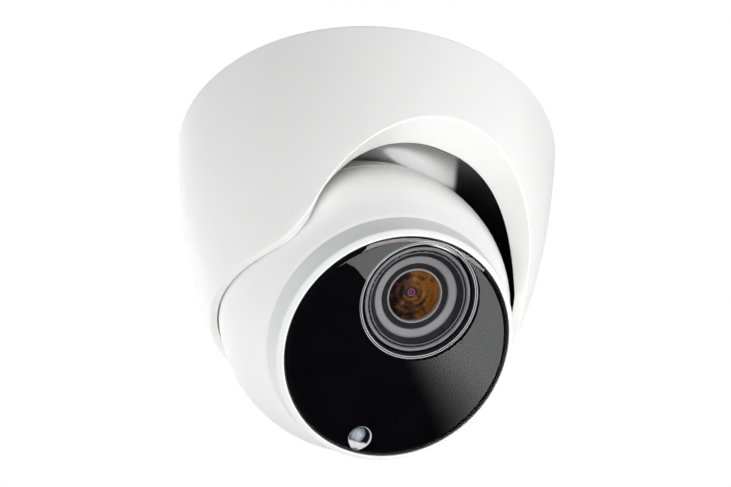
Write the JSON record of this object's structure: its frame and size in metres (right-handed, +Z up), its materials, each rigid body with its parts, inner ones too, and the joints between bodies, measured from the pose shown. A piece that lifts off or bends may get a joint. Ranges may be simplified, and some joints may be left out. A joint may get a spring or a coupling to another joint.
{
  "type": "dome cctv camera",
  "caption": "Ceiling-mounted turret security camera: a notched white housing that pans on a fixed base, holding a tilting, rolling eyeball with a dark glass face and a zoom lens.",
  "frame": {"origin": "centre of the mounting face of the base plate, on the ceiling plane", "axes": "+Z up into the ceiling; -Y towards the housing's notch, the side the eyeball tilts to; +X completes the right-handed frame; the camera hangs along -Z"},
  "size_m": [0.1318, 0.1318, 0.115],
  "materials": {
    "cast_alloy": "as cast, fine blasted",
    "seal_rubber": "matt moulded rubber",
    "nylon": "natural nylon",
    "steel": "bright zinc",
    "frame_steel": "black coated steel",
    "liner_black": "polished black moulding",
    "white_cover": "smooth white enamel",
    "white_shell": "smooth white enamel",
    "front_glass": "polished, coated",
    "mask_black": "black infrared-pass print",
    "sensor_clear": "clear moulded dome",
    "black_plastic": "fine matt",
    "lamp_yellow": "phosphor-coloured gel",
    "optic_clear": "polished optical glass",
    "circuit_board": "solder mask",
    "aluminium": "milled",
    "barrel_black": "black anodised, satin",
    "ring_grey": "turned, satin",
    "ring_silver": "turned, bright",
    "ring_bright": "polished edge",
    "coated_glass": "amber multi-coating",
    "filter_glass": "polished filter",
    "chip_ceramic": "moulded chip package"
  },
  "bodies": {
    "base": {"base_plate": "cast_alloy", "base_gasket": "seal_rubber", "cable_grommet": "seal_rubber", "pan_thrust_washer": "nylon", "pan_friction_ring": "steel", "pan_retainer": "steel", "retainer_screws": "steel"},
    "housing": {"pan_frame": "frame_steel", "dust_liner": "liner_black", "trim_cover": "white_cover", "lock_screw": "steel", "tilt_pins": "steel"},
    "cradle": {"tilt_cradle": "frame_steel"},
    "eyeball": {"rear_shell": "white_shell", "roll_washer": "nylon", "roll_nut": "steel", "cable_gland": "seal_rubber", "shell_seal": "seal_rubber", "front_shell": "white_shell", "shell_screws": "steel", "glass_seal": "seal_rubber", "front_glass": "front_glass", "glass_mask": "mask_black", "light_sensor": "sensor_clear", "sensor_shroud": "black_plastic", "ir_lamps": "lamp_yellow", "ir_lamp_lenses": "optic_clear", "led_board": "circuit_board", "heat_spreader": "aluminium", "led_screws": "steel", "lens_hood": "black_plastic", "lens_barrel": "barrel_black", "lens_trim_ring": "ring_grey", "lens_retainer": "ring_silver", "element_ring": "ring_bright", "front_element": "coated_glass", "lens_screws": "steel", "lens_body": "barrel_black", "iris_plate": "mask_black", "guide_rods": "steel", "lens_motors": "steel", "filter_housing": "black_plastic", "chip_holder": "black_plastic", "image_chip": "chip_ceramic", "chip_board": "circuit_board", "bracket_posts": "steel", "rear_bracket": "aluminium", "board_standoffs": "steel", "main_board": "circuit_board", "board_parts": "chip_ceramic", "chip_heatsink": "aluminium"},
    "zoom_group": {"zoom_carriage": "black_plastic", "zoom_element": "optic_clear"},
    "focus_group": {"focus_carriage": "black_plastic", "focus_element": "optic_clear"},
    "zoom_drive": {"zoom_screw": "steel"},
    "focus_drive": {"focus_screw": "steel"},
    "filter_slide": {"filter_blade": "black_plastic", "filter_panes": "filter_glass"}
  },
  "joints": [
    {"name": "pan", "type": "hinge", "parent": "base", "child": "housing", "pos_m": [0, 0, -0.007], "axis": [0, 0, 1], "range_deg": [-174, 174]},
    {"name": "tilt", "type": "hinge", "parent": "housing", "child": "cradle", "pos_m": [0, 0, -0.0638], "axis": [-1, 0, 0], "range_deg": [-35.9, 39.1]},
    {"name": "roll", "type": "hinge", "parent": "cradle", "child": "eyeball", "pos_m": [0, 0, -0.0638], "axis": [0, -0.5864, -0.81], "range_deg": [-177, 177]},
    {"name": "zoom_turn", "type": "hinge", "parent": "eyeball", "child": "zoom_drive", "pos_m": [0.0102, -0.01296, -0.05442], "axis": [0, -0.5864, -0.81], "range_deg": [0, 720.1]},
    {"name": "zoom_travel", "type": "slide", "parent": "eyeball", "child": "zoom_group", "axis": [0, 0.5864, 0.81], "range_m": [0, 0.004]},
    {"name": "focus_turn", "type": "hinge", "parent": "eyeball", "child": "focus_drive", "pos_m": [-0.0102, -0.01296, -0.05442], "axis": [0, -0.5864, -0.81], "range_deg": [0, 360.1]},
    {"name": "focus_travel", "type": "slide", "parent": "eyeball", "child": "focus_group", "axis": [0, -0.5864, -0.81], "range_m": [0, 0.002]},
    {"name": "filter_travel", "type": "slide", "parent": "eyeball", "child": "filter_slide", "axis": [0, 0.81, -0.5864], "range_m": [0, 0.0084]}
  ],
  "couplings": [
    {"joint": "zoom_turn", "follows": "zoom_travel", "rad_per_m": 3141.6},
    {"joint": "focus_turn", "follows": "focus_travel", "rad_per_m": 3141.6}
  ]
}
